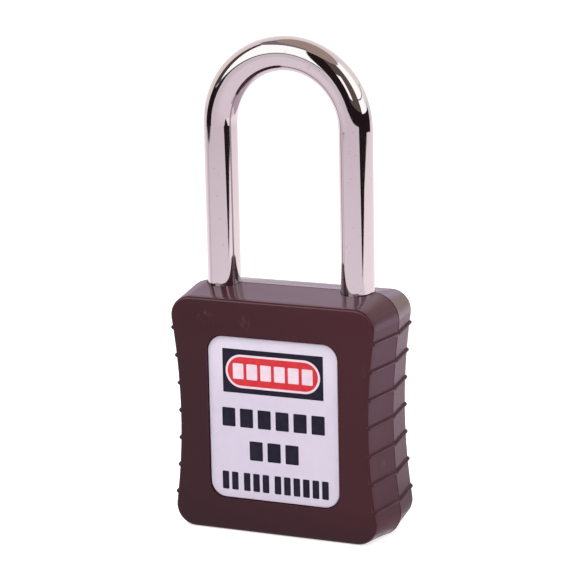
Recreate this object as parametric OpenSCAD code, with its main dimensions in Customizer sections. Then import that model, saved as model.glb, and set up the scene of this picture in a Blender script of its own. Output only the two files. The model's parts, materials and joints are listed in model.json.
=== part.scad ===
// Lockout padlock: two nylon shell halves around a pin-tumbler lock with ball locking.
// Origin at the middle of the flat base, X across the width, front face towards -Y, +Z up.
// Drawn with the shackle pushed home and the mechanism at its unlocked angle.

/* [Body] */
// Depth from the front face to the rear face
body_depth = 17.9; // [16:0.1:20]
// Height of the seam ridge on top
ridge_z = 43.3; // [43:0.1:50]
// Width over the seam at the waist
waist_w = 38.2; // [38:0.1:44]
// Height of the waist
waist_z = 20.8; // [17:0.1:24]
// Radius of the hollow side above the waist
upper_bow_r = 113; // [100:1:400]
// Radius of the hollow side below the waist
lower_bow_r = 109; // [90:1:400]
// How far each half draws in from the seam to its face
draft = 1.2; // [1.1:0.05:1.5]
// Corner radius at the top, on the seam
top_corner_r = 4.8; // [3:0.1:5]
// Corner radius at the bottom, on the seam
low_corner_r = 4.8; // [3:0.1:5]
// Rounding of the face edges
edge_r = 0.5; // [0.3:0.05:0.7]
// Small bevel along the seam of each half
seam_bevel = 0.15; // [0.05:0.05:0.3]
// Height cut off the lower seam ridge to make the flat base
base_cut = 1; // [0.5:0.05:1]

/* [Side ribs] */
// Number of ribs on each side
rib_count = 7; // [5:1:7]
// Height of the lowest rib
rib_z0 = 6.25; // [6:0.05:6.8]
// Distance between ribs
rib_pitch = 5; // [4.5:0.05:5.1]
// Width of a rib
rib_w = 0.75; // [0.6:0.05:1.2]
// Height of a rib above the side
rib_h = 0.4; // [0.2:0.05:0.5]

/* [Label] */
// Width of the label
label_w = 24.5; // [20:0.1:27]
// Height of the label
label_h = 29.2; // [25:0.1:30]
// Height of the label's middle
label_z = 20.8; // [20:0.1:22]
// Corner radius of the label
label_r = 2.8; // [1:0.1:4]
// Thickness of the label
label_t = 0.25; // [0.1:0.05:0.4]
// Gap around the label in its recess
label_gap = 0.25; // [0.1:0.05:0.4]
// Depth of the label recess
recess_depth = 0.7; // [0.5:0.05:0.8]

/* [Shackle] */
// Diameter of the shackle rod
rod_d = 6; // [5.6:0.1:6.2]
// Distance between the middles of the legs
leg_spacing = 25.6; // [25:0.1:26.3]
// Height of the arch's centre
arch_z = 71.5; // [60:0.5:110]
// Height of the short leg's end
toe_end_z = 32; // [31.5:0.1:33]
// Height of the long leg's end
heel_end_z = 17.5; // [16:0.1:18.5]
// Bevel on the leg ends
leg_bevel = 0.6; // [0.3:0.1:1]
// Radial clearance of the legs in the shell
leg_gap = 0.1; // [0.05:0.01:0.1]
// Travel of the shackle when it opens
shackle_lift = 12.5; // [12.2:0.1:12.7]
// Thickness of the retaining ring on the long leg
heel_ring_t = 0.8; // [0.5:0.1:1]
// Width of the retaining ring from its groove to its rim
heel_ring_w = 1.4; // [1:0.1:1.5]
// Depth of the ring's groove in the long leg
heel_groove = 0.7; // [0.5:0.1:0.8]
// Length of the long leg below its ring
heel_tip = 2.2; // [1.5:0.1:2.6]

/* [Locking balls] */
// Diameter of a locking ball
ball_d = 6; // [5.7:0.1:6]
// Height of the balls
ball_z = 37; // [36.8:0.1:37.2]
// Clearance between an unlocked ball and a leg
ball_clear = 0.1; // [0.05:0.01:0.15]
// Travel of a ball from unlocked to locked
ball_travel = 1.5; // [1.2:0.05:1.5]
// Radial clearance of a ball in its bore
ball_gap = 0.05; // [0.02:0.01:0.08]
// Clearance of a ball in the shackle's notch
notch_gap = 0.1; // [0.05:0.05:0.2]
// Clearance between the cam and a ball
cam_gap = 0.1; // [0.08:0.01:0.15]
// Angle over which the cam's lobe and waist stay level
cam_rest = 4; // [2:1:6]

/* [Ball carrier] */
// Wall of the shell between the carrier and a leg
carrier_wall = 1; // [0.9:0.05:1.2]
// Wall of the carrier around the cam's bore
carrier_rim = 0.75; // [0.6:0.05:0.8]
// Wall of the carrier under the ball bore
carrier_floor = 0.9; // [0.6:0.1:1]
// Height of the carrier block
carrier_h = 8.2; // [8:0.1:8.5]
// Clearance of the carrier in the shell
carrier_gap = 0.05; // [0.02:0.01:0.1]
// Clearance of the cam's lobe in its bore
cam_clear = 0.5; // [0.4:0.05:0.6]
// Thickness of the carrier's roof
carrier_roof = 1.4; // [1:0.1:1.6]
// Radius of the cam's upper pivot
pivot_r = 1.5; // [1:0.1:2]

/* [Lock cylinder] */
// Diameter of the plug
plug_d = 9; // [8.6:0.1:9.2]
// Radial clearance of the plug and the pivot
plug_gap = 0.05; // [0.02:0.01:0.08]
// Step of the plug's head over the plug
head_step = 0.6; // [0.4:0.1:0.8]
// Thickness of the plug's head
head_t = 1.2; // [0.8:0.1:1.5]
// Wall of the lock housing around the plug's bore
housing_wall = 1.65; // [1.5:0.05:1.7]
// How far the lock housing's face sits above the base
face_sink = 0.3; // [0.1:0.1:0.6]
// Height of the lock housing's upper end
housing_top = 27; // [26.5:0.1:27.2]
// Height of the collar's middle
collar_z = 14; // [8:0.5:24]
// Thickness of the collar
collar_t = 2; // [1.5:0.1:3]
// Height of the collar above the housing's barrel
collar_step = 0.5; // [0.3:0.1:0.6]
// Clearance of the housing in the shell
housing_gap = 0.05; // [0.02:0.01:0.1]
// Thickness of the plug's retaining clip
clip_t = 0.8; // [0.5:0.1:1]
// Depth of the clip's groove in the plug
clip_groove = 0.7; // [0.5:0.1:0.9]
// Rim of the clip outside the plug
clip_rim = 1.4; // [1:0.1:1.6]
// Mouth angle of the clip
clip_mouth = 70; // [40:5:100]
// Axial clearance of the clip and the cam
axial_gap = 0.1; // [0.05:0.01:0.2]
// Thickness of the tang that drives the cam
tang_t = 2.4; // [1.8:0.1:3]
// Length of the tang
tang_h = 2; // [1.5:0.1:2.2]

/* [Keyway] */
// Width of the keyway
keyway_w = 2.2; // [1.8:0.1:2.4]
// Depth of each ward into the keyway
ward_depth = 0.7; // [0.3:0.1:0.8]
// Length of each ward across the keyway
ward_len = 1.2; // [0.8:0.1:1.6]
// Distance from the axis to the keyway's closed end
keyway_end = 2.6; // [2:0.1:3]

/* [Pins] */
// Number of pin stacks
pin_count = 6; // [4:1:6]
// Height of the lowest pin
pin_z0 = 5; // [4.8:0.1:5.5]
// Distance between pins
pin_pitch = 3.5; // [3.2:0.1:3.6]
// Diameter of a pin
pin_d = 2.4; // [2:0.1:2.5]
// Radial clearance of a pin
pin_gap = 0.1; // [0.05:0.01:0.12]
// Length of the shortest key pin
key_pin_min = 2.2; // [2:0.1:2.4]
// Step between key pin lengths
key_pin_step = 0.35; // [0.2:0.05:0.4]
// Length of a driver pin
driver_len = 3.6; // [3:0.1:4]
// Space for the pin springs, measured along X
pin_spring_len = 5.2; // [4.5:0.1:5.4]
// Thickness of the strip that closes the chambers
cover_t = 0.8; // [0.5:0.1:1]
// Wall of the housing beside the pin chambers
chamber_wall = 1.1; // [0.8:0.1:1.2]

/* [Springs] */
// Wire diameter of the shackle spring
spring_wire = 0.9; // [0.7:0.1:1]
// Number of turns of the shackle spring
spring_turns = 7; // [5:0.5:8]
// Wire diameter of a pin spring
pin_wire = 0.3; // [0.2:0.05:0.4]
// Number of turns of a pin spring
pin_turns = 6; // [5:0.5:7]
// Clearance between a spring and what is around it
spring_gap = 0.05; // [0.02:0.01:0.1]
// Height of the floor under the shackle spring
spring_floor = 3; // [2:0.1:4]

/* [Shell joint] */
// Diameter of the locating pegs
peg_d = 1.6; // [1.2:0.1:1.8]
// Length of the locating pegs
peg_len = 2; // [1.5:0.1:3]
// Clearance of a peg in its socket
peg_gap = 0.05; // [0.02:0.01:0.1]
// Distance from a peg's middle to the body's side
peg_inset = 1.9; // [1.6:0.1:2]
// Height of the lower pegs
peg_low_z = 5.5; // [5:0.1:8]
// Distance from the ridge to the upper pegs
peg_drop = 6.4; // [6:0.1:8]

/* [Hidden] */
$fn = 64;
eps = 0.5;

half_depth = body_depth / 2;
draft_slope = draft / half_depth;
flat_half = base_cut / draft_slope;
corner_steps = 8;
edge_steps = 3;
rib_angles = [-90, -54, -18, 18, 54, 90];
cam_step = 5;
spring_steps = 14;
spring_sides = 8;
pin_steps = 9;
pin_sides = 5;

rod_r = rod_d / 2;
leg_x = leg_spacing / 2;
leg_bore_r = rod_r + leg_gap;
heel_ring_z = heel_end_z + heel_tip;
heel_ring_r = rod_r - heel_groove + heel_ring_w;
heel_bore_r = heel_ring_r + leg_gap;
heel_stop_z = heel_ring_z + heel_ring_t + shackle_lift + leg_gap;

ball_r = ball_d / 2;
ball_bore_r = ball_r + ball_gap;
ball_x = leg_x - rod_r - ball_clear - ball_r;
ball_lock_x = ball_x + ball_travel;
notch_r = ball_r + notch_gap;
cam_waist_r = ball_x - ball_r - cam_gap;
cam_lobe_r = ball_lock_x - ball_r - cam_gap;
carrier_z = ball_z - ball_bore_r - carrier_floor;
carrier_hx = leg_x - leg_bore_r - carrier_wall;
cam_bore_r = cam_lobe_r + cam_clear;
carrier_hy = cam_bore_r + carrier_rim;

plug_r = plug_d / 2;
plug_bore_r = plug_r + plug_gap;
head_r = plug_r + head_step;
barrel_r = plug_bore_r + housing_wall;
lock_bore_r = barrel_r + housing_gap;
clip_z = housing_top + axial_gap;
plug_top = clip_z + clip_t + axial_gap + clip_t;
cam_z = plug_top + axial_gap;
cam_lobe_z = carrier_z + carrier_floor / 2;
cam_lobe_top = carrier_z + carrier_h - carrier_roof - axial_gap;
stem_r = plug_r - plug_gap;

pin_r = pin_d / 2;
chamber_r = pin_r + pin_gap;
key_pin_x = sqrt(plug_r * plug_r - pin_r * pin_r) - plug_gap;
driver_x = plug_bore_r + plug_gap;
spring_x = driver_x + driver_len + spring_gap;
cover_x = spring_x + pin_spring_len + spring_gap;
block_x = cover_x + cover_t;
block_hy = chamber_r + chamber_wall;
block_z0 = pin_z0 - pin_r - chamber_wall;
block_z1 = pin_z0 + (pin_count - 1) * pin_pitch + chamber_r + chamber_wall;
key_lengths = [2, 0, 3, 1, 2, 0];

nylon = [0.28, 0.16, 0.18];
white = [0.86, 0.83, 0.88];
chrome = [0.82, 0.80, 0.83];
zinc = [0.62, 0.62, 0.64];
brass = [0.78, 0.62, 0.34];
steel = [0.70, 0.70, 0.72];

// Half width of the seam outline at a height, without ribs
function side_x(z) = waist_w / 2
    + pow(z - waist_z, 2) / (2 * (z > waist_z ? upper_bow_r : lower_bow_r));

// Lean of the side at a height, as an angle
function side_lean(z) = atan(abs(z - waist_z) / (z > waist_z ? upper_bow_r : lower_bow_r));

// Rounded corner of an outline drawn in by d, from angle a0 to angle a1
function corner(x, z, r, a0, a1) =
    [for (i = [0 : corner_steps])
        let (a = a0 + (a1 - a0) * i / corner_steps)
        [x + r * cos(a), z + r * sin(a)]];

// The lower corner starts where its arc meets the flat base
function low_corner(d) =
    let (r = low_corner_r - d, z = d - base_cut + r, a = side_lean(z))
    corner(side_x(z + r * sin(a)) - d - r * cos(a), z, r, -asin(min(1, z / r)), a);

function top_corner(d) =
    let (r = top_corner_r - d, z = ridge_z - d - r, a = side_lean(z))
    corner(side_x(z - r * sin(a)) - d - r * cos(a), z, r, -a, 90);

// One rib and the plain side above it, up to the middle of the gap
function rib_points(d, i) =
    let (z = rib_z0 + i * rib_pitch)
    concat(
        [for (a = rib_angles)
            let (p = z + rib_w / 2 * sin(a))
            [side_x(p) - d + rib_h * cos(a), p]],
        i < rib_count - 1 ? [[side_x(z + rib_pitch / 2) - d, z + rib_pitch / 2]] : []);

// Right half of the outline from the base up to the top, drawn in by d
function half_outline(d) = concat(
    low_corner(d),
    [for (i = [0 : rib_count - 1]) each rib_points(d, i)],
    top_corner(d));

function outline(d) =
    let (right = half_outline(d), n = len(right))
    concat(right, [for (i = [n - 1 : -1 : 0]) [-right[i][0], right[i][1]]]);

// Stations of one shell half, as distance from the seam and draw-in
stations = concat(
    [[0, seam_bevel], [seam_bevel, draft_slope * seam_bevel], [flat_half, draft_slope * flat_half]],
    [for (i = [0 : edge_steps])
        let (a = 90 * i / edge_steps)
        [half_depth - edge_r * (1 - sin(a)),
         draft_slope * (half_depth - edge_r) + edge_r * (1 - cos(a))]]);

// Solid form of the front half, lofted from the seam to the face
module shell_form() {
    n = len(outline(0));
    m = len(stations);
    points = [for (s = stations) each [for (p = outline(s[1])) [p[0], -s[0], p[1]]]];
    walls = [for (k = [0 : m - 2]) for (i = [0 : n - 1])
        let (j = (i + 1) % n)
        each [[k * n + i, (k + 1) * n + i, k * n + j],
              [k * n + j, (k + 1) * n + i, (k + 1) * n + j]]];
    seam = [for (i = [0 : n / 2 - 2]) [i, i + 1, n - 2 - i, n - 1 - i]];
    face = [for (q = seam) [for (i = [3 : -1 : 0]) (m - 1) * n + q[i]]];
    polyhedron(points, concat(seam, walls, face));
}

module rounded_rect(w, h, r) {
    square([w - 2 * r, h], center = true);
    square([w, h - 2 * r], center = true);
    for (x = [-1, 1], z = [-1, 1])
        translate([x * (w / 2 - r), z * (h / 2 - r)]) circle(r);
}

// Plate standing on the XZ plane at the label's place, from depth y0 to y1 behind the face
module label_plate(w, h, r, y0, y1) {
    translate([0, y1 - half_depth, label_z]) rotate([90, 0, 0])
        linear_extrude(y1 - y0) rounded_rect(w, h, r);
}

module label_recess() {
    label_plate(label_w + 2 * label_gap, label_h + 2 * label_gap, label_r + label_gap,
        -eps, recess_depth);
}

// Places of the locating pegs on the seam
module at_pegs() {
    for (s = [-1, 1], z = [peg_low_z, ridge_z - peg_drop])
        translate([s * (side_x(z) - peg_inset), 0, z]) rotate([90, 0, 0]) children();
}

// Space for everything that the shell holds
module shell_cavity() {
    for (s = [-1, 1])
        translate([s * leg_x, 0, toe_end_z - leg_gap]) cylinder(r = leg_bore_r, h = ridge_z);
    translate([-leg_x, 0, spring_floor]) cylinder(r = heel_bore_r, h = heel_stop_z - spring_floor);
    translate([0, 0, -eps]) cylinder(r = lock_bore_r, h = carrier_z + eps);
    translate([0, 0, collar_z - collar_t / 2 - housing_gap])
        cylinder(r = lock_bore_r + collar_step, h = collar_t + 2 * housing_gap);
    translate([0, -block_hy - housing_gap, block_z0 - housing_gap])
        cube([block_x + housing_gap, 2 * (block_hy + housing_gap),
            block_z1 - block_z0 + 2 * housing_gap]);
    translate([-carrier_hx - carrier_gap, -carrier_hy - carrier_gap, carrier_z - carrier_gap])
        cube([2 * (carrier_hx + carrier_gap), 2 * (carrier_hy + carrier_gap),
            carrier_h + 2 * carrier_gap]);
    translate([-leg_x, 0, ball_z]) rotate([0, 90, 0]) cylinder(r = ball_bore_r, h = leg_spacing);
}

module front_shell() {
    color(nylon) difference() {
        shell_form();
        shell_cavity();
        label_recess();
        at_pegs() cylinder(r = peg_d / 2 + peg_gap, h = 2 * (peg_len + peg_gap), center = true);
    }
}

module rear_shell() {
    color(nylon) union() {
        mirror([0, 1, 0]) difference() {
            shell_form();
            shell_cavity();
            label_recess();
        }
        at_pegs() translate([0, 0, -eps]) cylinder(d = peg_d, h = peg_len + eps);
    }
}

module front_label() {
    color(white)
        label_plate(label_w, label_h, label_r, recess_depth - label_t, recess_depth);
}

module leg(end_z) {
    translate([0, 0, end_z + leg_bevel]) cylinder(r = rod_r, h = arch_z - end_z - leg_bevel);
    translate([0, 0, end_z]) cylinder(r1 = rod_r - leg_bevel, r2 = rod_r, h = leg_bevel);
}

module shackle() {
    color(chrome) difference() {
        union() {
            translate([-leg_x, 0, 0]) leg(heel_end_z);
            translate([leg_x, 0, 0]) leg(toe_end_z);
            translate([0, 0, arch_z]) rotate([90, 0, 0])
                rotate_extrude(angle = 180) translate([leg_x, 0]) circle(rod_r);
        }
        for (s = [-1, 1])
            translate([s * ball_lock_x, 0, ball_z]) rotate([90, 0, 0])
                cylinder(r = notch_r, h = rod_d + eps, center = true);
        translate([-leg_x, 0, ball_z - shackle_lift])
            rotate_extrude() translate([leg_x - ball_lock_x, 0]) circle(notch_r);
        translate([-leg_x, 0, heel_ring_z]) difference() {
            cylinder(r = rod_r + eps, h = heel_ring_t);
            translate([0, 0, -eps]) cylinder(r = rod_r - heel_groove, h = heel_ring_t + 2 * eps);
        }
    }
}

module heel_ring() {
    color(steel) translate([-leg_x, 0, heel_ring_z + heel_ring_t / 2])
        rotate([0, 0, 90 + clip_mouth / 2]) rotate_extrude(angle = 360 - clip_mouth)
            translate([rod_r - heel_groove + heel_ring_w / 2, 0])
                square([heel_ring_w, heel_ring_t], center = true);
}

// Height along a coil as a share of its length, with closed turns at both ends
function coil_rise(t, wire, length, turns) =
    let (closed = wire / (length - wire), plain = 1 - 2 * closed, u = t * turns)
    u < 1 ? closed * u
    : u > turns - 1 ? 1 - closed * (turns - u)
    : closed + plain * (u - 1) / (turns - 2);

// Round wire wound about Z from z = 0 to z = length
module coil(mean_r, wire, length, turns, steps, sides) {
    count = round(turns * steps);
    points = [for (i = [0 : count])
        let (a = 360 * i / steps,
            z = wire / 2 + (length - wire) * coil_rise(i / count, wire, length, turns))
        each [for (k = [0 : sides - 1])
            let (b = 360 * k / sides, r = mean_r + wire / 2 * cos(b))
            [r * cos(a), r * sin(a), z + wire / 2 * sin(b)]]];
    walls = [for (i = [0 : count - 1]) for (k = [0 : sides - 1])
        let (j = (k + 1) % sides, p = i * sides, q = (i + 1) * sides)
        each [[p + k, p + j, q + k], [p + j, q + j, q + k]]];
    first = [for (k = [sides - 1 : -1 : 0]) k];
    last = [for (k = [0 : sides - 1]) count * sides + k];
    polyhedron(points, concat([first], walls, [last]));
}

module shackle_spring() {
    color(steel) translate([-leg_x, 0, spring_floor + spring_gap])
        coil(rod_r - leg_bevel / 2 - spring_wire / 2, spring_wire,
            heel_end_z - spring_floor - 2 * spring_gap, spring_turns, spring_steps, spring_sides);
}

// Places of the pin stacks, with the children's Z axis along +X
module at_pin(i) {
    translate([0, 0, pin_z0 + (i - 1) * pin_pitch]) rotate([0, 90, 0]) children();
}

module lock_housing() {
    color(zinc) difference() {
        union() {
            translate([0, 0, face_sink]) cylinder(r = barrel_r, h = housing_top - face_sink);
            translate([0, 0, collar_z - collar_t / 2])
                cylinder(r = barrel_r + collar_step, h = collar_t);
            translate([0, -block_hy, block_z0]) cube([block_x, 2 * block_hy, block_z1 - block_z0]);
        }
        translate([0, 0, -eps]) cylinder(r = plug_bore_r, h = housing_top + 2 * eps);
        translate([0, 0, -eps])
            cylinder(r = head_r + plug_gap, h = face_sink + head_t + plug_gap + eps);
        for (i = [1 : pin_count])
            at_pin(i) cylinder(r = chamber_r, h = block_x);
        translate([cover_x, -chamber_r, block_z0 - eps])
            cube([cover_t + eps, 2 * chamber_r, block_z1 - block_z0 + 2 * eps]);
    }
}

module chamber_cover() {
    color(zinc) translate([cover_x, -chamber_r, block_z0])
        cube([cover_t, 2 * chamber_r, block_z1 - block_z0]);
}

// Section of the keyway across the plug, open on the side away from the pins
module keyway_section() {
    w = keyway_w / 2;
    x0 = -plug_r - head_step - eps;
    x1 = -plug_r / 2;
    x2 = x1 + ward_len;
    x3 = x2 + ward_len;
    polygon([[x0, -w], [x1, -w], [x1, ward_depth - w], [x2, ward_depth - w], [x2, -w],
        [keyway_end, -w], [keyway_end, w], [x3, w], [x3, w - ward_depth], [x2, w - ward_depth],
        [x2, w], [x0, w]]);
}

module plug() {
    color(brass) difference() {
        union() {
            translate([0, 0, face_sink]) cylinder(r = plug_r, h = plug_top - face_sink);
            translate([0, 0, face_sink]) cylinder(r = head_r, h = head_t);
            translate([-tang_t / 2, -stem_r + tang_t / 2, plug_top - eps])
                cube([tang_t, 2 * stem_r - tang_t, tang_h + eps]);
        }
        translate([0, 0, -eps])
            linear_extrude(block_z1 + eps) keyway_section();
        for (i = [1 : pin_count])
            at_pin(i) cylinder(r = chamber_r, h = plug_r + eps);
        translate([0, 0, clip_z - axial_gap]) difference() {
            cylinder(r = plug_r + eps, h = clip_t + 2 * axial_gap);
            translate([0, 0, -eps])
                cylinder(r = plug_r - clip_groove, h = clip_t + 2 * axial_gap + 2 * eps);
        }
    }
}

module plug_clip() {
    ring_w = clip_groove + clip_rim;
    color(steel) translate([0, 0, clip_z + clip_t / 2])
        rotate([0, 0, 90 + clip_mouth / 2]) rotate_extrude(angle = 360 - clip_mouth)
            translate([plug_r - clip_groove + ring_w / 2, 0])
                square([ring_w, clip_t], center = true);
}

// Cam radius at an angle from its waist
function cam_r(a) =
    let (q = abs((a + 90) % 180 - 90))
    cam_waist_r + (cam_lobe_r - cam_waist_r)
        * min(1, max(0, (q - cam_rest) / (90 - 2 * cam_rest)));

module locking_cam() {
    color(zinc) difference() {
        union() {
            translate([0, 0, cam_z]) cylinder(r = stem_r, h = cam_lobe_z - cam_z + eps);
            translate([0, 0, cam_lobe_z]) linear_extrude(cam_lobe_top - cam_lobe_z)
                polygon([for (a = [0 : cam_step : 360 - cam_step]) cam_r(a) * [cos(a), sin(a)]]);
            translate([0, 0, cam_lobe_top - eps])
                cylinder(r = pivot_r, h = carrier_roof + eps);
        }
        translate([-tang_t / 2 - axial_gap, -stem_r - eps, cam_z - eps])
            cube([tang_t + 2 * axial_gap, 2 * (stem_r + eps), tang_h + eps + axial_gap]);
    }
}

module ball_carrier() {
    color(zinc) difference() {
        translate([-carrier_hx, -carrier_hy, carrier_z])
            cube([2 * carrier_hx, 2 * carrier_hy, carrier_h]);
        translate([0, 0, carrier_z - eps])
            cylinder(r = cam_bore_r, h = carrier_h - carrier_roof + eps);
        translate([0, 0, carrier_z])
            cylinder(r = pivot_r + plug_gap, h = carrier_h + eps);
        translate([0, 0, ball_z]) rotate([0, 90, 0])
            cylinder(r = ball_bore_r, h = 2 * (carrier_hx + eps), center = true);
    }
}

module ball(s) {
    color(steel) translate([s * ball_x, 0, ball_z]) sphere(ball_r);
}

module key_pin(i) {
    length = key_pin_min + key_pin_step * key_lengths[i - 1];
    tip = pin_r / 2;
    color(brass) at_pin(i) translate([0, 0, key_pin_x - length]) {
        cylinder(r1 = pin_r - tip, r2 = pin_r, h = tip);
        translate([0, 0, tip]) cylinder(r = pin_r, h = length - tip);
    }
}

module driver_pin(i) {
    color(steel) at_pin(i) translate([0, 0, driver_x]) cylinder(r = pin_r, h = driver_len);
}

module pin_spring(i) {
    color(steel) at_pin(i) translate([0, 0, spring_x])
        coil(pin_r - pin_wire / 2, pin_wire, pin_spring_len, pin_turns, pin_steps, pin_sides);
}

front_shell();
rear_shell();
front_label();
shackle();
heel_ring();
shackle_spring();
lock_housing();
chamber_cover();
plug();
plug_clip();
locking_cam();
ball_carrier();
ball(-1);  // ball_left
ball(1);  // ball_right
key_pin(1);  // key_pin_1
key_pin(2);  // key_pin_2
key_pin(3);  // key_pin_3
key_pin(4);  // key_pin_4
key_pin(5);  // key_pin_5
key_pin(6);  // key_pin_6
driver_pin(1);  // driver_pin_1
driver_pin(2);  // driver_pin_2
driver_pin(3);  // driver_pin_3
driver_pin(4);  // driver_pin_4
driver_pin(5);  // driver_pin_5
driver_pin(6);  // driver_pin_6
pin_spring(1);  // pin_spring_1
pin_spring(2);  // pin_spring_2
pin_spring(3);  // pin_spring_3
pin_spring(4);  // pin_spring_4
pin_spring(5);  // pin_spring_5
pin_spring(6);  // pin_spring_6
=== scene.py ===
"""Looks of the lockout padlock: materials, label print, studio and camera."""
import json
import math

import bpy
from mathutils import Matrix, Vector

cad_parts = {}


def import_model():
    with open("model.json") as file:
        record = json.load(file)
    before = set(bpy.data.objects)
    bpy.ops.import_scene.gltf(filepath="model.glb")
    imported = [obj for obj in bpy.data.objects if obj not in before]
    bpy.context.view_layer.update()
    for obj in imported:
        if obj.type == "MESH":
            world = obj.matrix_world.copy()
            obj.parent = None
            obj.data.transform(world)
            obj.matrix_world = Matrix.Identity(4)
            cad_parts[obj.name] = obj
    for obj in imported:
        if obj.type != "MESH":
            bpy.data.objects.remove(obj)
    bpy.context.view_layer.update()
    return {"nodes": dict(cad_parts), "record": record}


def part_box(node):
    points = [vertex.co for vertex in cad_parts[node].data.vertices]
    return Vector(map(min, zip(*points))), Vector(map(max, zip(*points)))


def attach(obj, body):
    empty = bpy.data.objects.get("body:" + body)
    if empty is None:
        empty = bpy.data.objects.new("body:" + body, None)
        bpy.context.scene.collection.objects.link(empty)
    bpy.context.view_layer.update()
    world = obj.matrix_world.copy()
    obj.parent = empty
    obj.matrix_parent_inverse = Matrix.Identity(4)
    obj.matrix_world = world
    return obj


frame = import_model()

MM = 0.001
NODES = frame["nodes"]

# Camera at the photograph's view, found by fitting the body's and the shackle's edges
CAM_AZIMUTH = 24.174
CAM_ELEVATION = 12.836
CAM_ROLL = 1.167
CAM_DISTANCE = 0.4450
CAM_TARGET = Vector((0, 0, 42.5 * MM))
CAM_LENS = 156.51
CAM_SENSOR = 36
CAM_SHIFT = (0.00136, -0.00225)
CAM_CLIP = (0.01, 20)

# Smooth shading: points this close are joined, and edges sharper than these degrees stay hard
WELD_DISTANCE = 0.001 * MM
SHELL_ANGLE = 40
SPRING_ANGLE = 75

# Label print, in millimetres: left, top, width and height of the panel, and sizes of the oval
PANEL = (2.7, 2.1, 19.15, 7.9)
PANEL_CORNER = 0.1
OVAL = (18.0, 6.0)
OVAL_RIM = 0.4
OVAL_STEPS = 20
OVAL_BLOCKS = (15.2, 2.8, (6,), 0.6)
# Lines of blocks: name, middle from the label's left, distance down from its top,
# then width, height, blocks in each word and gap between blocks
PRINT_LINES = (
    ("print_line_1", 12.2, 14.5, (19.6, 3.4, (6,), 0.9)),
    ("print_line_2", 12.25, 20.35, (9.4, 3.5, (3,), 0.9)),
    ("print_line_3", 12.35, 26.15, (20.4, 3.3, (2, 3, 6), 0.55)),
)
BLOCK_CORNER = 0.18
BLOCK_STEPS = 4
WORD_SPACE = 1.05
PRINT_LIFT = 0.01 * MM

# Heights of the side ribs, as the CAD part has them
RIB_FIRST = 6.25 * MM
RIB_PITCH = 5 * MM
RIB_LAST = 36.25 * MM
RIB_WIDTH = 0.75 * MM

# Small pale scuffs, in millimetres: X and Z on the front face, Y and Z on the right side
FACE_SCUFFS = ((-13, 39.1), (-12, 38.6), (-5, 38.2), (17.2, 31.5))
SIDE_SCUFFS = ((-4.5, 13.6), (-3.8, 14.2), (1.4, 23.2))
SIDE_SURFACE = 19.3
SCUFF_RADIUS = 1.5 * MM

# Colours of the nylon by place, most of them painted light: sheen on the sides and top, shade on the
# shoulders and ribs, a highlight on the lip
NYLON = {
    # Painted light: the face is lighter and redder towards its top right
    "face_left": (0.0290, 0.0063, 0.0093),
    "face_right": (0.0500, 0.0097, 0.0150),
    "face_foot": (0.016, 0.003, 0.005),
    # Painted sheen and shade: the sides pale towards the top and darken low down
    "side_low": (0.055, 0.016, 0.022),
    "side_high": (0.091, 0.045, 0.064),
    # Painted sheen: the top is paler, most of all to the right
    "top_left": (0.049, 0.010, 0.018),
    "top_right": (0.091, 0.044, 0.064),
    # Painted shade on the shoulders between the top and the sides
    "shoulder": (0.045, 0.006, 0.010),
    # Painted highlight along the face's upper edge
    "lip": (0.13, 0.08, 0.10),
    # Painted shade on the ribs' upward flanks
    "rib": (0.036, 0.009, 0.012),
    "worn": (0.15, 0.095, 0.10),
}
# Shares that three of them, the painted shoulder shade, lip highlight and rib shade, have over what lies
# beneath
SHOULDER_SHADE_SHARE = 0.75
LIP_HIGHLIGHT_SHARE = 0.6
RIB_SHADE_SHARE = 0.6

# Roughness of the nylon: the faces' range, how much less the top has, and how much more the ribs have
SATIN = (0.2, 0.27)
TOP_GLOSS = 0.09
RIB_DULLNESS = 0.5

# Stretches in millimetres over which a colour changes; all but the face's foot carry painted light
SPAN = {
    "face_right": (-15, 34),
    "face_foot": (2, 7),
    "side_rise": (3, 38),
    "top_right": (-18, 14),
    "label_top": (24, 34),
    "label_right": (0, 12),
}

# Inks of the label: the colour where the print is thick, and where it is thin
INKS = {
    "black_ink": ((0.012, 0.009, 0.021), (0.017, 0.014, 0.029)),
    "red_ink": ((0.59, 0.030, 0.040), (0.64, 0.042, 0.052)),
    "pale_ink": ((0.80, 0.65, 0.73), (0.75, 0.59, 0.68)),
}

# Scales of the noise, in cells a metre
CELLS = {
    "nylon_cloud": 90,
    "nylon_streaks": 260,
    "nylon_flow": 500,
    "nylon_grit": 1500,
    "nylon_grain": 5200,
    "label_mottle": 700,
    "ink_mottle": 900,
    "chrome_haze": 60,
    "chrome_specks": 1500,
    "chrome_lines": 1500,
}

# Colours of the cards that only reflections show
GLOW = {
    "dark": (0.025, 0.015, 0.018),
    "umber": (0.11, 0.08, 0.08),
    "brown": (0.16, 0.12, 0.105),
    "white": (1.78, 1.85, 1.8),
    "pale": (1.3, 1.23, 1.18),
    "cream": (1.2, 1.08, 1.0),
    "tan": (0.54, 0.42, 0.37),
    "mauve": (0.30, 0.245, 0.28),
    "lavender": (1.3, 1.13, 1.36),
    "dusk": (0.72, 0.64, 0.68),
    "bright": (1.25, 1.12, 1.16),
    "pink": (0.72, 0.63, 0.73),
    # Painted shade for reflections: the floor near the padlock, darker still in a painted contact shadow
    "low": (0.60, 0.48, 0.55),
    "contact": (0.36, 0.32, 0.365),
}

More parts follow.
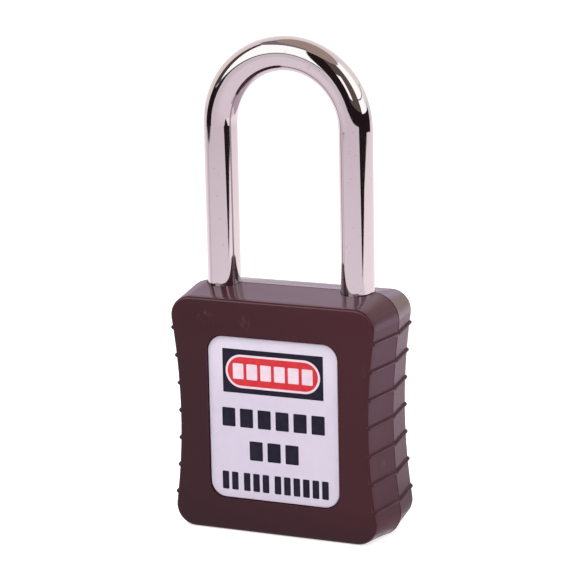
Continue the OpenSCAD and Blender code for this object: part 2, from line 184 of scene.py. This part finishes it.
# Curved cards round the shackle: name, colour, distance in metres, and the lower left, lower right,
# upper right and upper left corners as azimuth and elevation in degrees
CARDS = (
    ("card_rear_left", "cream", 0.93, ((-180, -2), (-84, -2), (-96, 50), (-180, 60))),
    ("card_rear_right", "cream", 0.93, ((150, -2), (180, -2), (180, 58), (150, 58))),
    ("card_ceiling_left", "tan", 0.93, ((-180, 59), (-20, 59), (-20, 89.9), (-180, 89.9))),
    ("card_ceiling_right", "tan", 0.92, ((-20, 58), (180, 58), (180, 89.9), (-20, 89.9))),
    ("card_left_window", "white", 0.91, ((-60, 10), (-10, 9), (-5, 58), (-76, 50))),
    ("card_left_border", "mauve", 0.90, ((-110, 48), (-4, 57), (-4, 66), (-110, 62))),
    ("card_left_band", "umber", 0.90, ((-84, 8), (-58, 8), (-76, 50), (-96, 50))),
    ("card_left_line", "umber", 0.89, ((-58, 4), (-12, 4), (-12, 8), (-58, 9))),
    ("card_left_low", "dark", 0.43, ((-84, -9.3), (-43, -9.3), (-40, 5), (-82, 9))),
    ("card_right_window", "white", 0.89, ((78, 8), (122, 8), (128, 56), (78, 60))),
    ("card_right_edge", "pale", 0.89, ((122, 8), (150, 12), (150, 45), (128, 56))),
    ("card_right_line", "mauve", 0.88, ((76, 20.3), (150, 20.3), (150, 21.7), (76, 21.7))),
    ("card_right_brown", "brown", 0.87, ((22, 9), (79, 9), (78, 60), (22, 58))),
    ("card_front_dark", "dark", 0.85, ((-10, -5), (26, -5), (24, 58), (-5, 57))),
    ("card_low_dark", "dark", 0.84, ((20, -5), (50, -5), (82, 9), (20, 9))),
    ("card_inner_window", "white", 0.80, ((30, 14), (41, 15), (40, 38), (25, 34))),
    ("card_right_low", "dark", 0.43, ((45, -10), (132, -8.9), (137, 8), (45, 7))),
    ("card_rear_mauve", "lavender", 0.91, ((-180, 8), (-132, 8), (-134, 30), (-180, 30))),
    ("card_rear_haze", "pink", 0.91, ((-180, -4.6), (-132, -4.6), (-132, 8), (-180, 8))),
)
CARD_CENTRE = Vector((0, 0, 75 * MM))
CARD_ACROSS = 12
CARD_UP = 6

# Cards on the floor: name, colour, layer, and corners as azimuth in degrees and distance in millimetres
FLOOR_CARDS = (
    ("card_floor_right", "dark", 2, (
        (57, 215), (66, 262), (76, 345), (84, 375), (92, 415), (99, 434),
        (99, 600), (44, 600), (46, 430), (50, 330), (54, 240))),
    ("card_floor_left", "dark", 2, (
        (-86, 478), (-76, 478), (-66, 478), (-56, 478), (-44, 478), (-44, 458),
        (-52, 442), (-60, 425), (-71, 425), (-78, 445))),
    ("card_floor_rear", "bright", 1, (
        (58, 222), (60, 330), (60, 900), (101, 900), (150, 2000), (210, 2000), (266, 900),
        (266, 195), (210, 195), (150, 195), (101, 195), (78, 200))),
    ("card_floor_line", "dusk", 1, ((-73, 60), (-71, 466), (-79, 466), (-79, 60))),
    # Painted shade, seen only in reflections: the floor near the padlock, and a painted contact shadow
    # beside it
    ("card_floor_near_shade", "low", 1, (
        (70, 21), (70, 85), (110, 105), (130, 190), (165, 190), (171, 150), (175, 60),
        (190, 25), (190, 10), (150, 14), (110, 20))),
    ("card_floor_contact_shadow", "contact", 2, (
        (112, 23), (118, 37), (135, 43), (155, 44), (170, 38), (172, 12), (150, 14), (130, 19))),
)
LAYER_LIFT = 0.2 * MM

# The floor, and how bright reflections show it near the padlock and far from it
FLOOR_HALF = 4.0
FLOOR_PAPER = (0.82, 0.81, 0.82)
FLOOR_MIRRORED = (1.0, 0.88, 0.95)
FLOOR_NEAR = 180 * MM
FLOOR_FAR = 430 * MM
FLOOR_NEAR_GLOW = 1.18

# Light added to the floor as the camera sees it, and the strength of the world as a light
FLOOR_SEEN = 0.6
WORLD_LIGHT = 0.55

# Lamps: name, azimuth, elevation, distance and size in metres, power in watts
LAMPS = (
    ("key", -45, 50, 0.28, 0.2, 0.64),
    ("fill", 85, 30, 1.2, 1.0, 9.0),
)


def link(tree, a, b):
    tree.links.new(a, b)


def node(tree, kind, **values):
    """A shader node with its attributes and socket values set."""
    made = tree.nodes.new(kind)
    for key, value in values.items():
        if hasattr(made, key):
            setattr(made, key, value)
        else:
            made.inputs[key.replace("_", " ")].default_value = value
    return made


def new_material(name, color, roughness, metallic=0.0, specular=0.5):
    """A material with a principled shader, and the parts that its maker needs."""
    material = bpy.data.materials.new(name)
    material.use_nodes = True
    tree = material.node_tree
    shader = tree.nodes["Principled BSDF"]
    shader.inputs["Base Color"].default_value = (*color, 1)
    shader.inputs["Roughness"].default_value = roughness
    shader.inputs["Metallic"].default_value = metallic
    shader.inputs["Specular IOR Level"].default_value = specular
    coords = node(tree, "ShaderNodeTexCoord")
    return material, tree, shader, coords.outputs["Object"]


def noise(tree, coords, scale, detail=2.0, stretch=(1, 1, 1)):
    """Noise in object space, with so many cells a metre."""
    mapping = node(tree, "ShaderNodeMapping", Scale=stretch)
    link(tree, coords, mapping.inputs["Vector"])
    made = node(tree, "ShaderNodeTexNoise", Scale=scale, Detail=detail)
    link(tree, mapping.outputs["Vector"], made.inputs["Vector"])
    return made.outputs["Fac"]


def remap(tree, value, low, high, to_low=0, to_high=1):
    """A value carried over from one range to another, and held inside it."""
    made = node(tree, "ShaderNodeMapRange")
    link(tree, value, made.inputs["Value"])
    for key, number in (("From Min", low), ("From Max", high), ("To Min", to_low), ("To Max", to_high)):
        made.inputs[key].default_value = number
    return made.outputs["Result"]


def along(tree, value, span, to_low=0, to_high=1):
    """How far a place lies along one of the stretches."""
    low, high = SPAN[span]
    return remap(tree, value, low * MM, high * MM, to_low, to_high)


def mix_color(tree, factor, a, b):
    """Mix of two colours, each a tuple or a socket."""
    made = node(tree, "ShaderNodeMix", data_type="RGBA")
    link(tree, factor, made.inputs["Factor"])
    for socket, color in ((made.inputs[6], a), (made.inputs[7], b)):
        if isinstance(color, tuple):
            socket.default_value = (*color, 1)
        else:
            link(tree, color, socket)
    return made.outputs[2]


def bump(tree, shader, height, strength, distance):
    made = node(tree, "ShaderNodeBump", Strength=strength, Distance=distance)
    link(tree, height, made.inputs["Height"])
    link(tree, made.outputs["Normal"], shader.inputs["Normal"])


def math_node(tree, operation, a, b=None):
    """Result of an operation on one or two values, each a number or a socket."""
    made = node(tree, "ShaderNodeMath", operation=operation)
    for socket, value in zip(made.inputs, (a, b)):
        if isinstance(value, (int, float)):
            socket.default_value = value
        elif value is not None:
            link(tree, value, socket)
    return made.outputs["Value"]


def plus(tree, a, b):
    return math_node(tree, "ADD", a, b)


def times(tree, a, b):
    return math_node(tree, "MULTIPLY", a, b)


def axes(tree, vector):
    """The X, Y and Z of a vector."""
    made = node(tree, "ShaderNodeSeparateXYZ")
    link(tree, vector, made.inputs["Vector"])
    return made.outputs


def band(tree, value, low, high, soft):
    """1 between two values, and 0 outside them, with soft ends."""
    rise = remap(tree, value, low - soft, low + soft)
    return times(tree, rise, remap(tree, value, high - soft, high + soft, 1, 0))


def rib_mask(tree, height):
    """1 on the heights that the side ribs take."""
    step = math_node(tree, "DIVIDE", math_node(tree, "SUBTRACT", height, RIB_FIRST), RIB_PITCH)
    off = math_node(tree, "ABSOLUTE", math_node(tree, "SUBTRACT", step, math_node(tree, "ROUND", step)))
    near = remap(tree, off, 0.55 * RIB_WIDTH / RIB_PITCH, 0.8 * RIB_WIDTH / RIB_PITCH, 1, 0)
    ribbed = band(tree, height, RIB_FIRST - 2 * MM, RIB_LAST + 2 * MM, 0.5 * MM)
    return times(tree, near, ribbed)


def spots(tree, coords, places, radius):
    """1 at the middle of each place, falling to 0 at its radius."""
    total = 0
    for place in places:
        away = node(tree, "ShaderNodeVectorMath", operation="DISTANCE")
        link(tree, coords, away.inputs[0])
        away.inputs[1].default_value = place
        total = plus(tree, remap(tree, away.outputs["Value"], 0, radius, 1, 0), total)
    return total


def scuffs():
    """Places of the scuffs on the front face and the right side."""
    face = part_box("front_shell")[0].y
    places = [Vector((x * MM, face, z * MM)) for x, z in FACE_SCUFFS]
    return places + [Vector((SIDE_SURFACE * MM, y * MM, z * MM)) for y, z in SIDE_SCUFFS]


def nylon_masks(tree, place):
    """Where the nylon is a face, a top, a shoulder, the lip over a face, or a rib: the places of its painted
    light and shade.
    """
    facing = axes(tree, node(tree, "ShaderNodeNewGeometry").outputs["Normal"])
    depth = math_node(tree, "ABSOLUTE", facing["Y"])
    over = remap(tree, facing["Z"], 0.05, 0.4)
    aside = remap(tree, depth, 0.3, 0.5, 1, 0)
    return {
        "face": remap(tree, depth, 0.3, 0.5),
        "up": remap(tree, facing["Z"], 0.4, 0.85),
        "shoulder": band(tree, facing["Z"], 0.3, 0.86, 0.1),
        "lip": times(tree, band(tree, depth, 0.86, 0.97, 0.03), over),
        # The ribs' painted shade lies only on their upward flanks
        "rib": times(tree, rib_mask(tree, place["Z"]), times(tree, aside, over)),
    }


def nylon_face(tree, place):
    """Colour of a face: redder to the top right as painted light, deeper at the foot."""
    # Painted light across the face, rising to the top right
    slope = plus(tree, place["X"], times(tree, place["Z"], 0.4))
    face = mix_color(tree, along(tree, slope, "face_right"), NYLON["face_left"], NYLON["face_right"])
    return mix_color(tree, along(tree, place["Z"], "face_foot", 0.3, 0), face, NYLON["face_foot"])


def nylon_side(tree, coords, place):
    """Colour of the sides: paler towards the top as painted sheen, darker low down as painted shade, and a
    little cloudy.
    """
    cloud = remap(tree, noise(tree, coords, CELLS["nylon_cloud"], 3), 0.3, 0.7, -0.1, 0.1)
    height = plus(tree, along(tree, place["Z"], "side_rise"), cloud)
    return mix_color(tree, height, NYLON["side_low"], NYLON["side_high"])


def nylon_wear(tree, coords):
    """How far the nylon is rubbed pale: streaks anywhere, and the scuffs."""
    streaks = remap(tree, noise(tree, coords, CELLS["nylon_streaks"], 4, (1, 1, 0.35)), 0.72, 0.8, 0, 0.3)
    grit = remap(tree, noise(tree, coords, CELLS["nylon_grit"], 2, (1, 1, 0.6)), 0.45, 0.7, 0, 0.35)
    marks = times(tree, spots(tree, coords, scuffs(), SCUFF_RADIUS), grit)
    return math_node(tree, "MAXIMUM", streaks, marks)


def nylon_color(tree, coords, place, masks):
    """Colour of the nylon all over, laid from the sides to the wear. The side, top, shoulder, lip and rib
    layers are painted light and shade.
    """
    # Painted sheen on the top, paler to the right, laid over the sides' colour where the nylon faces up
    top = mix_color(tree, along(tree, place["X"], "top_right"), NYLON["top_left"], NYLON["top_right"])
    color = mix_color(tree, masks["up"], nylon_side(tree, coords, place), top)
    # Painted shade on the shoulders
    color = mix_color(tree, times(tree, masks["shoulder"], SHOULDER_SHADE_SHARE), color, NYLON["shoulder"])
    color = mix_color(tree, masks["face"], color, nylon_face(tree, place))
    # Painted highlight along the face's upper edge
    color = mix_color(tree, times(tree, masks["lip"], LIP_HIGHLIGHT_SHARE), color, NYLON["lip"])
    # Painted shade on the ribs' upward flanks
    color = mix_color(tree, times(tree, masks["rib"], RIB_SHADE_SHARE), color, NYLON["rib"])
    return mix_color(tree, nylon_wear(tree, coords), color, NYLON["worn"])


def nylon_material():
    """Dark red-brown moulded nylon: satin face, glossier top, dull ribs and a few scuffs, with painted light
    in its colour: paler sides and top, shaded shoulders and ribs, a highlighted lip.
    """
    material, tree, shader, coords = new_material("nylon", (0.045, 0.01, 0.015), 0.25, specular=0.2)
    place = axes(tree, coords)
    masks = nylon_masks(tree, place)
    link(tree, nylon_color(tree, coords, place, masks), shader.inputs["Base Color"])
    flow = noise(tree, coords, CELLS["nylon_flow"], 2, (1, 1, 0.12))
    satin = remap(tree, flow, 0.3, 0.7, *SATIN)
    rough = math_node(tree, "SUBTRACT", satin, times(tree, masks["up"], TOP_GLOSS))
    link(tree, plus(tree, rough, times(tree, masks["rib"], RIB_DULLNESS)), shader.inputs["Roughness"])
    grain = noise(tree, coords, CELLS["nylon_grain"], 2)
    bump(tree, shader, plus(tree, times(tree, grain, 0.5), flow), 0.25, 0.02 * MM)
    return material


def label_material():
    """White vinyl with a faint lavender cast, lighter at the top right as painted light, with a slightly
    uneven surface.
    """
    material, tree, shader, coords = new_material("label_vinyl", (0.65, 0.59, 0.70), 0.4, specular=0.2)
    mottle = noise(tree, coords, CELLS["label_mottle"], 3)
    place = axes(tree, coords)
    # Painted light: the label lightens towards its top and its right
    light = along(tree, place["Z"], "label_top", 0, 0.8)
    light = plus(tree, light, along(tree, place["X"], "label_right", 0, 0.35))
    light = plus(tree, light, remap(tree, mottle, 0.3, 0.7, 0, 0.2))
    color = mix_color(tree, light, (0.62, 0.555, 0.67), (0.705, 0.645, 0.755))
    link(tree, color, shader.inputs["Base Color"])
    bump(tree, shader, mottle, 0.2, 0.01 * MM)
    return material


def ink_material(name, thick, thin):
    """Printed ink, a little uneven in thickness."""
    material, tree, shader, coords = new_material(name, thick, 0.35, specular=0.1)
    thinness = remap(tree, noise(tree, coords, CELLS["ink_mottle"], 3), 0.35, 0.7)
    link(tree, mix_color(tree, thinness, thick, thin), shader.inputs["Base Color"])
    return material


def chrome_material():
    """Bright chrome plate with specks and very fine polishing lines along the rod."""
    plate = (0.56, 0.52, 0.53)
    material, tree, shader, coords = new_material("chrome_plate", plate, 0.045, metallic=1.0)
    specks = remap(tree, noise(tree, coords, CELLS["chrome_specks"], 3), 0.66, 0.74, 0, 0.5)
    link(tree, mix_color(tree, specks, plate, (0.36, 0.32, 0.33)), shader.inputs["Base Color"])
    lines = noise(tree, coords, CELLS["chrome_lines"], 2, (1, 1, 0.04))
    haze = remap(tree, noise(tree, coords, CELLS["chrome_haze"], 2), 0.4, 0.7, 0, 0.03)
    rough = plus(tree, remap(tree, lines, 0.4, 0.7, 0.03, 0.05), haze)
    link(tree, rough, shader.inputs["Roughness"])
    bump(tree, shader, lines, 0.04, 0.01 * MM)
    return material


def around_axis(tree, coords):
    """Coordinates of the distance from the lock's axis and of the height."""
    place = axes(tree, coords)
    squares = [times(tree, place[key], place[key]) for key in "XY"]
    joined = node(tree, "ShaderNodeCombineXYZ")
    link(tree, math_node(tree, "SQRT", plus(tree, *squares)), joined.inputs["X"])
    link(tree, place["Z"], joined.inputs["Z"])
    return joined.outputs["Vector"]


def metal_material(name, color, roughness, scale, turned=False):
    """Plain machined, cast or drawn metal. A turned one has rings round the lock's axis."""
    material, tree, shader, coords = new_material(name, color, roughness, metallic=1.0)
    if turned:
        coords = around_axis(tree, coords)
    lines = noise(tree, coords, scale, 3)
    rough = remap(tree, lines, 0.3, 0.7, roughness * 0.8, roughness * 1.25)
    link(tree, rough, shader.inputs["Roughness"])
    dull = tuple(0.8 * c for c in color)
    link(tree, mix_color(tree, remap(tree, lines, 0.3, 0.75), color, dull), shader.inputs["Base Color"])
    bump(tree, shader, lines, 0.15, 0.02 * MM)
    return material


def dress_nodes():
    """Gives every CAD node the material of its slot."""
    finishes = {
        "nylon_body": nylon_material(),
        "label": label_material(),
        "shackle_chrome": chrome_material(),
        "spring_steel": metal_material("spring_steel", (0.60, 0.60, 0.62), 0.25, 2500),
        "lock_zinc": metal_material("die_cast_zinc", (0.50, 0.50, 0.52), 0.42, 900),
        "plug_brass": metal_material("turned_brass", (0.72, 0.53, 0.25), 0.28, 2200, turned=True),
        "ball_steel": metal_material("ground_steel", (0.62, 0.62, 0.64), 0.12, 3000),
    }
    for part in frame["record"]["subparts"]:
        NODES[part["node"]].data.materials[0] = finishes[part["material_slot"]]


def smoothing_group():
    """Node group that shades smooth, apart from edges sharper than a given angle."""
    group = bpy.data.node_groups.new("smooth_by_angle", "GeometryNodeTree")
    group.interface.new_socket("Geometry", in_out="INPUT", socket_type="NodeSocketGeometry")
    group.interface.new_socket("Angle", in_out="INPUT", socket_type="NodeSocketFloat")
    group.interface.new_socket("Geometry", in_out="OUTPUT", socket_type="NodeSocketGeometry")
    start = node(group, "NodeGroupInput")
    end = node(group, "NodeGroupOutput")
    plain = node(group, "GeometryNodeRemoveAttribute", Name="custom_normal")
    faces = node(group, "GeometryNodeSetShadeSmooth", domain="FACE")
    edges = node(group, "GeometryNodeSetShadeSmooth", domain="EDGE", Shade_Smooth=False)
    angle = node(group, "GeometryNodeInputMeshEdgeAngle")
    sharp = node(group, "FunctionNodeCompare", operation="GREATER_THAN")
    link(group, start.outputs["Geometry"], plain.inputs["Geometry"])
    link(group, plain.outputs["Geometry"], faces.inputs["Geometry"])
    link(group, faces.outputs["Geometry"], edges.inputs["Geometry"])
    link(group, angle.outputs["Unsigned Angle"], sharp.inputs[0])
    link(group, start.outputs["Angle"], sharp.inputs[1])
    link(group, sharp.outputs["Result"], edges.inputs["Selection"])
    link(group, edges.outputs["Geometry"], end.inputs["Geometry"])
    return group


def smooth(obj, group, degrees):
    """Modifiers that join the surface's points and shade it smooth."""
    weld = obj.modifiers.new("weld", "WELD")
    weld.merge_threshold = WELD_DISTANCE
    shade = obj.modifiers.new("smooth", "NODES")
    shade.node_group = group
    shade[group.interface.items_tree["Angle"].identifier] = math.radians(degrees)


def smooth_nodes():
    """Smooth shading on the lofted shells and the springs."""
    group = smoothing_group()
    for name in ("front_shell", "rear_shell"):
        smooth(NODES[name], group, SHELL_ANGLE)
    for name in NODES:
        if "spring" in name:
            smooth(NODES[name], group, SPRING_ANGLE)


def print_field(name, outlines, layer, material):
    """Thin closed fields of ink on the label, from outlines in X and Z. Higher layers cover lower ones."""
    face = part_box("front_label")[0].y
    front = face - layer * PRINT_LIFT
    back = face + PRINT_LIFT
    corners = []
    faces = []
    for outline in outlines:
        first = len(corners)
        count = len(outline)
        corners += [(x, y, z) for y in (front, back) for x, z in outline]
        faces.append(tuple(range(first, first + count)))
        faces.append(tuple(range(first + 2 * count - 1, first + count - 1, -1)))
        for i in range(count):
            j = (i + 1) % count
            faces.append((first + i, first + count + i, first + count + j, first + j))
    mesh = bpy.data.meshes.new(name)
    mesh.from_pydata(corners, [], faces)
    mesh.materials.append(material)
    piece = bpy.data.objects.new(name, mesh)
    bpy.context.scene.collection.objects.link(piece)
    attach(piece, "casing")


def rounded(cx, cz, w, h, r, steps=12):
    """Outline of a rectangle with round corners, anticlockwise seen from the front."""
    points = []
    for sx, sz, start in ((1, -1, -90), (1, 1, 0), (-1, 1, 90), (-1, -1, 180)):
        for i in range(steps + 1):
            a = math.radians(start + 90 * i / steps)
            points.append((cx + sx * (w / 2 - r) + r * math.cos(a), cz + sz * (h / 2 - r) + r * math.sin(a)))
    return points


def blocks(centre, z, row):
    """Outlines of a row of plain blocks: its width and height, the blocks in each word, and their gap."""
    width, height, words, gap = (row[0] * MM, row[1] * MM, row[2], row[3] * MM)
    space = WORD_SPACE * MM
    count = sum(words)
    block = (width - gap * (count - len(words)) - space * (len(words) - 1)) / count
    x = centre - width / 2
    outlines = []
    for number in words:
        for _ in range(number):
            outlines.append(rounded(x + block / 2, z, block, height, BLOCK_CORNER * MM, BLOCK_STEPS))
            x += block + gap
        x += space - gap
    return outlines


def label_print():
    """Fields of colour on the label: a dark panel, a red oval with a pale rim, and dark blocks."""
    low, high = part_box("front_label")
    black, red, pale = (ink_material(name, *colors) for name, colors in INKS.items())
    left, top, width, height = (v * MM for v in PANEL)
    x = low.x + left + width / 2
    z = high.z - top - height / 2
    print_field("print_panel", [rounded(x, z, width, height, PANEL_CORNER * MM)], 1, black)
    w, h = (v * MM for v in OVAL)
    rim = OVAL_RIM * MM
    outer = rounded(x, z, w, h, h / 2, OVAL_STEPS)
    inner = rounded(x, z, w - 2 * rim, h - 2 * rim, h / 2 - rim, OVAL_STEPS)
    print_field("print_oval_rim", [outer], 2, pale)
    print_field("print_oval", [inner], 3, red)
    print_field("print_oval_blocks", blocks(x, z, OVAL_BLOCKS), 4, pale)
    for name, middle, down, row in PRINT_LINES:
        print_field(name, blocks(low.x + middle * MM, high.z - down * MM, row), 1, black)


def direction(azimuth, elevation):
    """Unit vector towards an azimuth from -Y and an elevation, in degrees."""
    a = math.radians(azimuth)
    e = math.radians(elevation)
    return Vector((math.sin(a) * math.cos(e), -math.cos(a) * math.cos(e), math.sin(e)))


def stage_mesh(name, vertices, faces, material):
    """A mesh that belongs to the studio, and not to the padlock."""
    mesh = bpy.data.meshes.new(name)
    mesh.from_pydata(vertices, [], faces)
    obj = bpy.data.objects.new(name, mesh)
    bpy.context.scene.collection.objects.link(obj)
    mesh.materials.append(material)
    return obj


def emptied(tree, kind):
    """The output of a tree in which nothing else is left."""
    tree.nodes.clear()
    return node(tree, kind).inputs["Surface"]


def nearness(tree):
    """Brightness of the mirrored floor, which is higher near the padlock."""
    away = node(tree, "ShaderNodeVectorMath", operation="LENGTH")
    link(tree, node(tree, "ShaderNodeTexCoord").outputs["Object"], away.inputs[0])
    return remap(tree, away.outputs["Value"], FLOOR_NEAR, FLOOR_FAR, FLOOR_NEAR_GLOW, 1.0)


def mirror_rays(tree):
    """The light path node, and 1 for the rays that metal and glass send on."""
    path = node(tree, "ShaderNodeLightPath")
    glossy = math_node(tree, "MAXIMUM", path.outputs["Is Glossy Ray"], path.outputs["Is Transmission Ray"])
    return path, glossy


def glow_material(name, color, on_floor=False):
    """Plain light of one colour."""
    material = bpy.data.materials.new(name)
    material.use_nodes = True
    tree = material.node_tree
    surface = emptied(tree, "ShaderNodeOutputMaterial")
    glow = node(tree, "ShaderNodeEmission", Color=(*color, 1), Strength=1.0)
    if on_floor:
        link(tree, nearness(tree), glow.inputs["Strength"])
    link(tree, glow.outputs["Emission"], surface)
    return material


def only_reflected(obj):
    """The card shows in reflections, and nowhere else."""
    obj.visible_camera = False
    obj.visible_diffuse = False
    obj.visible_shadow = False
    obj.visible_transmission = False


def card(name, color, distance, corners):
    """Curved card round the shackle."""
    low_left, low_right, high_right, high_left = (Vector(corner) for corner in corners)
    vertices = []
    faces = []
    for i in range(CARD_ACROSS + 1):
        low = low_left.lerp(low_right, i / CARD_ACROSS)
        high = high_left.lerp(high_right, i / CARD_ACROSS)
        for j in range(CARD_UP + 1):
            vertices.append(CARD_CENTRE + distance * direction(*low.lerp(high, j / CARD_UP)))
    for i in range(CARD_ACROSS):
        for j in range(CARD_UP):
            k = i * (CARD_UP + 1) + j
            faces.append((k, k + CARD_UP + 1, k + CARD_UP + 2, k + 1))
    only_reflected(stage_mesh(name, vertices, faces, glow_material(name, GLOW[color])))


def floor_card(name, color, layer, corners):
    """Card lying on the floor. Higher layers cover lower ones."""
    lift = Vector((0, 0, LAYER_LIFT * layer))
    vertices = [lift + distance * MM * direction(azimuth, 0) for azimuth, distance in corners]
    faces = [tuple(range(len(vertices)))]
    only_reflected(stage_mesh(name, vertices, faces, glow_material(name, GLOW[color], on_floor=True)))


def reflection_cards():
    """White windows, dark cards and a warm ceiling, which give the chrome its streaks."""
    for values in CARDS:
        card(*values)
    for values in FLOOR_CARDS:
        floor_card(*values)


def floor():
    """Pale floor that keeps the shadow, and that metal mirrors as a plain glow."""
    material = bpy.data.materials.new("pale_floor")
    material.use_nodes = True
    tree = material.node_tree
    surface = emptied(tree, "ShaderNodeOutputMaterial")
    path, glossy = mirror_rays(tree)
    paper = node(tree, "ShaderNodeBsdfDiffuse", Color=(*FLOOR_PAPER, 1))
    lit = node(tree, "ShaderNodeEmission", Color=(1, 1, 1, 1))
    link(tree, times(tree, path.outputs["Is Camera Ray"], FLOOR_SEEN), lit.inputs["Strength"])
    both = node(tree, "ShaderNodeAddShader")
    link(tree, paper.outputs["BSDF"], both.inputs[0])
    link(tree, lit.outputs["Emission"], both.inputs[1])
    mirrored = node(tree, "ShaderNodeEmission", Color=(*FLOOR_MIRRORED, 1))
    link(tree, nearness(tree), mirrored.inputs["Strength"])
    mixed = node(tree, "ShaderNodeMixShader")
    link(tree, glossy, mixed.inputs["Fac"])
    link(tree, both.outputs["Shader"], mixed.inputs[1])
    link(tree, mirrored.outputs["Emission"], mixed.inputs[2])
    link(tree, mixed.outputs["Shader"], surface)
    corners = [(x * FLOOR_HALF, y * FLOOR_HALF, 0) for x, y in ((-1, -1), (1, -1), (1, 1), (-1, 1))]
    stage_mesh("floor", corners, [(0, 1, 2, 3)], material)


def world():
    """Soft even light, which the camera, metal and glass see as white."""
    studio = bpy.data.worlds.new("studio")
    bpy.context.scene.world = studio
    studio.use_nodes = True
    tree = studio.node_tree
    surface = emptied(tree, "ShaderNodeOutputWorld")
    path, glossy = mirror_rays(tree)
    seen = math_node(tree, "MAXIMUM", path.outputs["Is Camera Ray"], glossy)
    back = node(tree, "ShaderNodeBackground", Color=(1, 1, 1, 1))
    link(tree, remap(tree, seen, 0, 1, WORLD_LIGHT, 1.0), back.inputs["Strength"])
    link(tree, back.outputs["Background"], surface)


def lamp(name, azimuth, elevation, distance, size, power):
    """Square soft light aimed at the body's middle."""
    light = bpy.data.lights.new(name, "AREA")
    light.size = size
    light.energy = power
    obj = bpy.data.objects.new(name, light)
    bpy.context.scene.collection.objects.link(obj)
    toward = direction(azimuth, elevation)
    obj.location = CAM_TARGET + distance * toward
    obj.rotation_mode = "QUATERNION"
    obj.rotation_quaternion = toward.to_track_quat("Z", "Y")
    obj.visible_camera = False
    obj.visible_glossy = False


def camera():
    """Camera at the photograph's view, rolled a little."""
    back = direction(CAM_AZIMUTH, CAM_ELEVATION)
    side = Vector((math.cos(math.radians(CAM_AZIMUTH)), math.sin(math.radians(CAM_AZIMUTH)), 0))
    up = back.cross(side)
    c = math.cos(math.radians(CAM_ROLL))
    s = math.sin(math.radians(CAM_ROLL))
    right = c * side - s * up
    above = s * side + c * up
    data = bpy.data.cameras.new("camera")
    data.lens = CAM_LENS
    data.sensor_width = CAM_SENSOR
    data.shift_x, data.shift_y = CAM_SHIFT
    data.clip_start, data.clip_end = CAM_CLIP
    obj = bpy.data.objects.new("camera", data)
    bpy.context.scene.collection.objects.link(obj)
    place = CAM_TARGET + CAM_DISTANCE * back
    turn = Matrix((right, above, back)).transposed().to_4x4()
    obj.matrix_world = Matrix.Translation(place) @ turn
    bpy.context.scene.camera = obj


def lights():
    for values in LAMPS:
        lamp(*values)


bpy.context.scene.view_settings.view_transform = "Standard"
camera()
dress_nodes()
smooth_nodes()
label_print()
floor()
world()
reflection_cards()
lights()
